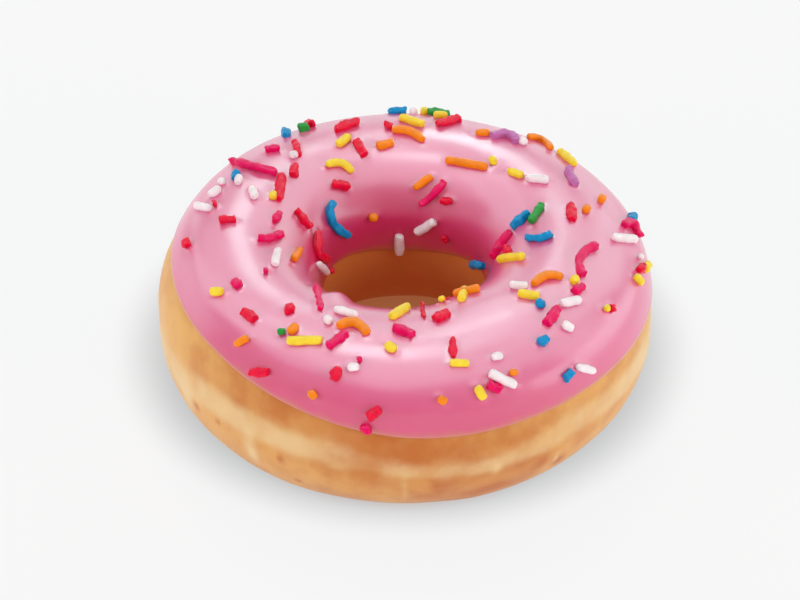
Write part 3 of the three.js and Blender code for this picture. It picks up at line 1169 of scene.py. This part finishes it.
@dataclass(frozen=True)
class SprinkleFinish(Finish):
    """Sugar sprinkles: waxy, in one strong colour that is a little darker in patches."""

    tint: Tint
    surface: Surface = Surface(roughness=0.3, subsurface=0.12, subsurface_depth=0.4 * MM, specular=0.22)
    shade: float = 0.88
    patches: Mottle = Mottle(1.2 * MM, 0.0, 1.0, 4.0)
    grain: Grain = Grain(0.5 * MM, 0.04 * MM, 9.0)

    @property
    def name(self) -> str:
        """The material's name."""
        return f"sprinkle_{self.tint.value}"

    def colour(self, paint: Paint, effects: Effects) -> None:
        """Gives the sprinkles their colour and its darker patches.

        Args:
            paint: The started material.
            effects: The shared shader groups.
        """
        colour = linear(SPRINKLE_COLOURS[self.tint])
        patches = effects.mottled(paint, self.patches)
        paint.show("Base Color", paint.mix(patches, colour, darker(colour, self.shade)))
        effects.roughen(paint, self.grain)


def darker(colour: Shade, share: float) -> Shade:
    """A colour with its light cut down to a share."""
    return (*(part * share for part in colour[:3]), 1.0)


@dataclass
class Dough:
    """The fried ring.

    Its colour changes over some stretches of turn: into the hole, and onto the side that it rests
    on, below the outer equator and below the one in the hole.
    """

    ring: RingForm
    browning: Browning = field(default_factory=Browning)
    finish: DoughFinish = field(default_factory=DoughFinish)
    round_steps: int = 540
    section_steps: int = 176
    hole_turns: Pair = (150, 178)
    rest_turns_outside: Pair = (66, 78)
    rest_turns_inside: Pair = (254, 260)
    relief: Relief = Relief(1.0, 11 * MM, 0.6 * MM, 2.5 * MM, 0.06 * MM, 2.0)

    def build(self, tree: ShapeTree, effects: Effects) -> Piece:
        """Makes the piece.

        Args:
            tree: The tree for relief.
            effects: The shared shader groups.

        Returns:
            The dough.
        """
        azimuth = np.linspace(0, 360, self.round_steps, endpoint=False)[None, :]
        turn = np.linspace(-90, 270, self.section_steps, endpoint=False)[:, None]
        base = closed_ring("dough_base", self.ring.point(azimuth, turn))
        brown, pale = self.browning.fields(azimuth, turn)
        inside = smoothstep(turn, *self.hole_turns)
        under_outside = smoothstep(-turn, *self.rest_turns_outside)
        under = np.maximum(under_outside, smoothstep(turn, *self.rest_turns_inside))
        for name, values in (("brown", brown), ("pale", pale), ("inside", inside), ("under", under)):
            add_attribute(base.data, name, values * np.ones_like(azimuth))
        material = self.finish.material(effects)
        piece = tree.apply(base, "dough_ring", material=material, **asdict(self.relief))
        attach(piece, BODY)
        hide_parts("dough")
        return piece


@dataclass
class Icing:
    """The icing over the ring, which rises a little round each sprinkle.

    Its underside is sunk into the dough. Its pink is deepened as painted shade in the hole, past
    pool_turns, and low on the front outside, about pool_azimuth and over run_turns from
    its edge.
    """

    ring: RingForm
    form: IcingForm
    finish: IcingFinish = field(default_factory=IcingFinish)
    round_steps: int = 560
    top_steps: int = 100
    lip_steps: int = 9
    under_steps: int = 8
    sunk: float = 0.3 * MM
    fillet_start: float = 0.8
    fillet_height: float = 0.16 * MM
    fillet_reach: float = 0.35 * MM
    inside_turns: Pair = (80, 110)
    # Where the pink is painted deeper as shade: in the hole, and low on the front outside.
    pool_turns: Pair = (110, 160)
    pool_lean: float = 15.0
    pool_azimuth: float = 268.0
    pool_share: float = 0.8
    pool_cosines: Pair = (0.3, 1)
    run_turns: Pair = (8, 35)
    relief: Relief = Relief(6.0, 12 * MM, 0.3 * MM)

    def rows(self) -> tuple[Array, Array, Array]:
        """The icing's section at each azimuth.

        Returns:
            The azimuths, turns and lifts of its points, in closed rows.
        """
        azimuth = np.linspace(0, 360, self.round_steps, endpoint=False)[None, :]
        start, end = self.form.outer_edge(azimuth), self.form.inner_edge(azimuth)
        roll = np.linspace(0, math.pi / 2, self.lip_steps)[:, None]
        lip = self.form.lip_turn * (1 - np.cos(roll))
        middle = np.linspace(0, 1, self.top_steps + 2)[1:-1, None]
        first, last = start + self.form.lip_turn, end - self.form.lip_turn
        turns = np.concatenate([start + lip, first + middle * (last - first), (end - lip)[::-1]])
        lifts = self.form.lift(azimuth, turns)
        low = self.form.clearance + self.sunk
        drop = low * (1 - np.sin(roll)) * np.ones_like(azimuth)
        lifts[: self.lip_steps] -= drop
        lifts[-self.lip_steps :] -= drop[::-1]
        share = np.linspace(0, 1, self.under_steps + 2)[1:-1, None]
        under = end + share * (start - end)
        turns = np.concatenate([turns, under])
        lifts = np.concatenate([lifts, np.full_like(under, -self.sunk)])
        return np.broadcast_to(azimuth, turns.shape), turns, lifts

    def fillets(self, points: Array, lines: list[Array], radius: float) -> Array:
        """How far the icing rises towards the sprinkles that lie in it.

        Args:
            points: Places on the icing.
            lines: The middle lines of the sprinkles.
            radius: The sprinkles' radius.

        Returns:
            The rise at each place.
        """
        knots = np.concatenate(lines)
        nearest = KDTree(len(knots))
        for i, knot in enumerate(knots):
            nearest.insert(knot, i)
        nearest.balance()
        gaps = np.array([nearest.find(point)[2] for point in points.reshape(-1, 3).tolist()])
        away = gaps - self.fillet_start * radius
        rise = self.fillet_height * np.exp(-((np.maximum(away, 0) / self.fillet_reach) ** 2))
        return rise.reshape(points.shape[:-1])

    def pooled(self, azimuth: Array, turns: Array) -> Array:
        """Paints shade into the icing's pink: deeper in the hole, and low on the front outside.

        Args:
            azimuth: In degrees.
            turns: In degrees.

        Returns:
            How deep the painted shade is at each place.
        """
        towards = np.cos(np.radians(azimuth - self.pool_azimuth))
        low = self.pool_share * smoothstep(towards, *self.pool_cosines)
        front_shade = low * (1 - smoothstep(turns - self.form.outer_edge(azimuth), *self.run_turns))
        lean = self.pool_lean * np.cos(np.radians(azimuth))
        return np.maximum(front_shade, smoothstep(turns - lean, *self.pool_turns))

    def build(self, tree: ShapeTree, effects: Effects, lines: list[Array], radius: float) -> Piece:
        """Makes the piece.

        Args:
            tree: The tree for relief.
            effects: The shared shader groups.
            lines: The middle lines of the sprinkles.
            radius: The sprinkles' radius.

        Returns:
            The icing.
        """
        azimuth, turns, lifts = self.rows()
        top = slice(0, 2 * self.lip_steps + self.top_steps)
        points = self.ring.point(azimuth[top], turns[top], lifts[top])
        past_lip = smoothstep(self.form.from_edge(azimuth[top], turns[top]), 0, self.form.lip_turn)
        lifts[top] += past_lip * self.fillets(points, lines, radius)
        base = closed_ring("icing_base", self.ring.point(azimuth, turns, lifts))
        add_attribute(base.data, "from_edge", self.form.from_edge(azimuth, turns))
        add_attribute(base.data, "inside", smoothstep(turns, *self.inside_turns))
        # How deep the painted shade of the pink is, at each vertex.
        add_attribute(base.data, "pooled", self.pooled(azimuth, turns))
        material = self.finish.material(effects)
        piece = tree.apply(base, "icing_coat", material=material, **asdict(self.relief))
        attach(piece, BODY)
        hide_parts("icing")
        return piece


@dataclass(frozen=True)
class StickShape:
    """How uneven the sprinkles of one texture are, in the stick tree's inputs."""

    belly: float
    tip_round: float
    round_end: float
    blunt_end: float
    lump_depth: float
    crease_depth: float
    groove_depth: float
    grooves: float = 4.0
    lump_size: float = 1.6 * MM
    crease_size: float = 0.7 * MM
    radius_spread: float = 0.1
    sides: int = 18


STICK_SHAPES: dict[Texture, StickShape] = {
    Texture.SMOOTH: StickShape(0.2, 0.6 * MM, 0.2, 0.6, 0.5 * MM, 0.1 * MM, 0.02),
    Texture.CRUMPLED: StickShape(0.3, 0.25 * MM, 0.3, 0.8, 1.2 * MM, 0.5 * MM, 0.1),
}
SMOOTH_TINTS = (Tint.ORANGE, Tint.YELLOW, Tint.WHITE)


@dataclass
class Sprinkles:
    """All the sprinkles, as one piece for each colour."""

    layout: SprinkleLayout

    def build(self, tint: Tint, group: list[Stick], tree: ShapeTree, effects: Effects) -> Piece:
        """Makes the sprinkles of one colour.

        Args:
            tint: Their colour.
            group: Their middle lines and thicknesses.
            tree: The tree that makes sticks along lines.
            effects: The shared shader groups.

        Returns:
            The piece.
        """
        name = f"sprinkles_{tint.value}"
        shape = STICK_SHAPES[Texture.SMOOTH if tint in SMOOTH_TINTS else Texture.CRUMPLED]
        mesh = bpy.data.meshes.new(name + "_lines")
        counts = [len(stick.line) for stick in group]
        starts = np.cumsum([0, *counts[:-1]])
        edges = [(int(s) + i, int(s) + i + 1) for s, c in zip(starts, counts) for i in range(c - 1)]
        mesh.from_pydata(np.concatenate([stick.line for stick in group]).tolist(), edges, [])
        add_attribute(mesh, "stick", np.repeat(np.arange(len(group)), counts))
        add_attribute(mesh, "thickness", np.repeat([float(stick.thickness) for stick in group], counts))
        piece = tree.apply(
            add_object(name + "_lines", mesh), name, radius=self.layout.radius,
            seed=list(Tint).index(tint), material=SprinkleFinish(tint).material(effects), **asdict(shape),
        )
        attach(piece, BODY)
        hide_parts("icing")
        return piece


# The colour of the light that only gloss shows. It keeps the highlights on the icing near white.
GLOSS_LIGHT: Triple = (0.62, 1.0, 0.96)
UNNARROWED = 180.0
MIDDLE_HEIGHT = 16 * MM
CREST_HEIGHT = 34 * MM


def on_crest(x: float, y: float) -> Triple:
    """A place at the height of the icing's crest, given in millimetres."""
    return (x * MM, y * MM, CREST_HEIGHT)


@dataclass(frozen=True)
class Softbox:
    """A rectangular studio light that faces the doughnut or one place on it.

    A grid before it can narrow its beam, so that it lights only what is near the place it faces.
    """

    name: str
    azimuth: float
    elevation: float
    distance: float
    size: Pair
    brightness: float
    lit: Lit
    place: Triple = (0.0, 0.0, MIDDLE_HEIGHT)
    beam: float = UNNARROWED

    def build(self) -> None:
        """Makes the light."""
        around, up = math.radians(self.azimuth), math.radians(self.elevation)
        level = math.cos(up)
        towards = Vector((level * math.cos(around), level * math.sin(around), math.sin(up)))
        data = bpy.data.lights.new(self.name, "AREA")
        data.shape = "RECTANGLE"
        data.size, data.size_y = self.size
        data.energy = self.brightness * math.pi * self.size[0] * self.size[1]
        if self.beam < UNNARROWED:
            half = math.radians(self.beam / 2)
            data.spread = 2 * half
            data.energy *= 1 - half / math.tan(half)
        if self.lit is Lit.GLOSS:
            data.color = GLOSS_LIGHT
        light = add_object(self.name, data)
        light.visible_camera = False
        light.visible_diffuse = self.lit is Lit.MATT
        light.visible_glossy = self.lit is Lit.GLOSS
        light.location = Vector(self.place) + self.distance * towards
        light.rotation_euler = towards.to_track_quat("Z", "Y").to_euler()


@dataclass(frozen=True)
class Studio:
    """The pale floor, the soft lights, the surroundings and the camera.

    The floor is a light table. Under the doughnut and in its hole it is painted with brown shade and a
    dim brown glow, which fade out over shaded_radius. Round the doughnut it is painted with a soft shadow
    that fades out over shadow_radius.
    """

    floor_size: float = 3.0
    floor_drop: float = 0.05 * MM
    floor_surface: Surface = Surface(roughness=0.9, specular=0.1)
    floor_colour: Shade = (0.22, 0.11, 0.08, 1.0)
    floor_glow: Shade = (0.722, 0.822, 0.85, 1.0)
    # A painted soft shadow round the doughnut.
    shadow_centre: Triple = (0.0, 11 * MM, 0.0)
    shadow_radius: Pair = (41 * MM, 56 * MM)
    shadow: float = 0.62
    # Painted brown shade under the doughnut and in its hole, with a dim painted glow for the light that the
    # dough throws there.
    shaded_radius: Pair = (26 * MM, 38 * MM)
    shaded_colour: Shade = (0.42, 0.23, 0.12, 1.0)
    shaded_glow: Shade = (0.22, 0.085, 0.035, 1.0)
    world: float = 0.46
    softboxes: tuple[Softbox, ...] = (
        Softbox("key_back", 97, 58, 0.7, (0.22, 0.22), 3.4, Lit.MATT),
        Softbox("overhead", 90, 88, 0.7, (0.5, 0.5), 0.5, Lit.MATT),
        Softbox("fill_left", 208, 20, 0.8, (0.6, 0.4), 3.3, Lit.MATT),
        Softbox("fill_right", -35, 20, 0.8, (0.6, 0.4), 3.6, Lit.MATT),
        Softbox("fill_back", 90, 15, 0.8, (0.6, 0.4), 2.0, Lit.MATT),
        Softbox("lamp_front", 97, 70, 0.3, (0.13, 0.11), 7.0, Lit.GLOSS, on_crest(-5, -30), 36),
        Softbox("lamp_front_right", 85, 44, 0.3, (0.04, 0.04), 12.0, Lit.GLOSS, on_crest(12, -23), 16),
        Softbox("lamp_back_right", 89, 37, 0.3, (0.03, 0.015), 50.0, Lit.GLOSS, on_crest(13, 30), 13),
        Softbox("lamp_left", 92, 37, 0.3, (0.045, 0.04), 12.0, Lit.GLOSS, on_crest(-31, 2), 16),
        Softbox("sheet_top", 100, 79, 0.7, (0.26, 0.22), 1.8, Lit.GLOSS),
        Softbox("sheet_key", 102, 60, 0.7, (0.34, 0.26), 1.0, Lit.GLOSS),
        Softbox("sheet_back", 98, 40, 0.7, (0.5, 0.26), 1.0, Lit.GLOSS),
        Softbox("sheet_low_back", 85, 12, 0.9, (1.5, 0.36), 1.1, Lit.GLOSS),
        Softbox("sheet_back_right", 52, 44, 0.8, (0.5, 0.7), 1.9, Lit.GLOSS),
        Softbox("sheet_back_left", 145, 48, 0.8, (0.5, 0.8), 1.7, Lit.GLOSS),
        Softbox("sheet_right", 5, 38, 0.8, (0.4, 0.6), 1.6, Lit.GLOSS),
        Softbox("sheet_low_right", 0, 9, 0.9, (1.3, 0.4), 1.9, Lit.GLOSS),
        Softbox("sheet_low_left", 155, 10, 0.9, (0.6, 0.3), 1.0, Lit.GLOSS),
        Softbox("sheet_left", 190, 55, 0.8, (0.5, 0.45), 1.1, Lit.GLOSS),
        Softbox("sheet_front", 290, 74, 0.7, (0.7, 0.5), 1.7, Lit.GLOSS),
    )
    aim: Triple = (-0.86 * MM, 1.44 * MM, 17.3 * MM)
    camera_elevation: float = 37.5
    camera_distance: float = 0.6
    lens: float = 148.4
    clip: Pair = (0.01, 10)

    def build(self) -> None:
        """Makes the stage."""
        self.make_floor()
        self.make_world()
        for softbox in self.softboxes:
            softbox.build()
        self.make_camera()
        bpy.context.scene.view_settings.view_transform = "Standard"

    def make_floor(self) -> None:
        """Makes the glowing floor, with painted shade under the doughnut and a painted shadow round it."""
        half = self.floor_size / 2
        corners = np.array([(-half, -half, 0), (half, -half, 0), (half, half, 0), (-half, half, 0)])
        floor = mesh_object("floor", corners, [(0, 1, 2, 3)])
        floor.location.z = -self.floor_drop
        paint = Paint("pale_light_table", self.floor_surface)
        away = paint.vector_math("LENGTH", paint.place)["Value"]
        unshaded = paint.map_range(away, self.shaded_radius, (0.0, 1.0))
        around = paint.vector_math("DISTANCE", paint.place, self.shadow_centre)["Value"]
        clear = paint.map_range(around, self.shadow_radius, (0.0, 1.0))
        # The shaded colour and glow are painted shade under the doughnut; the darker ring is a painted
        # shadow.
        for name, lit, shaded in (
            ("Base Color", self.floor_colour, self.shaded_colour),
            ("Emission Color", self.floor_glow, self.shaded_glow),
        ):
            open_floor = paint.mix(clear, darker(lit, self.shadow), lit)
            paint.show(name, paint.mix(unshaded, shaded, open_floor))
        paint.show("Emission Strength", 1.0)
        floor.data.materials.append(paint.material)

    def make_world(self) -> None:
        """Lights the surroundings evenly."""
        world = bpy.data.worlds.new("surroundings")
        world.use_nodes = True
        background = world.node_tree.nodes["Background"]
        background.inputs["Color"].default_value = (1, 1, 1, 1)
        background.inputs["Strength"].default_value = self.world
        bpy.context.scene.world = world

    def make_camera(self) -> None:
        """Makes the camera and gives it to the scene."""
        up = math.radians(self.camera_elevation)
        data = bpy.data.cameras.new("camera")
        data.lens = self.lens
        data.sensor_fit = "HORIZONTAL"
        data.clip_start, data.clip_end = self.clip
        camera = add_object("camera", data)
        back = Vector((0, -math.cos(up), math.sin(up)))
        camera.location = Vector(self.aim) + self.camera_distance * back
        camera.rotation_euler = back.to_track_quat("Z", "Y").to_euler()
        bpy.context.scene.camera = camera


def report(piece: Piece) -> None:
    """Logs a finished piece."""
    piece.data.calc_loop_triangles()
    LOG.info("%s: %d triangles", piece.name, len(piece.data.loop_triangles))


def main() -> None:
    """Builds the doughnut and its stage."""
    logging.basicConfig(level=logging.INFO, format="%(name)s: %(message)s")
    ring, icing_form, effects = RingForm(), IcingForm(), Effects()
    relief, sticks = relief_tree(), stick_tree()
    report(Dough(ring).build(relief, effects))
    layout = SprinkleLayout(ring, icing_form)
    groups = layout.sticks()
    lines = [stick.line for group in groups.values() for stick in group]
    report(Icing(ring, icing_form).build(relief, effects, lines, layout.radius))
    for tint, group in groups.items():
        report(Sprinkles(layout).build(tint, group, sticks, effects))
    Studio().build()


if __name__ == "__main__":
    main()
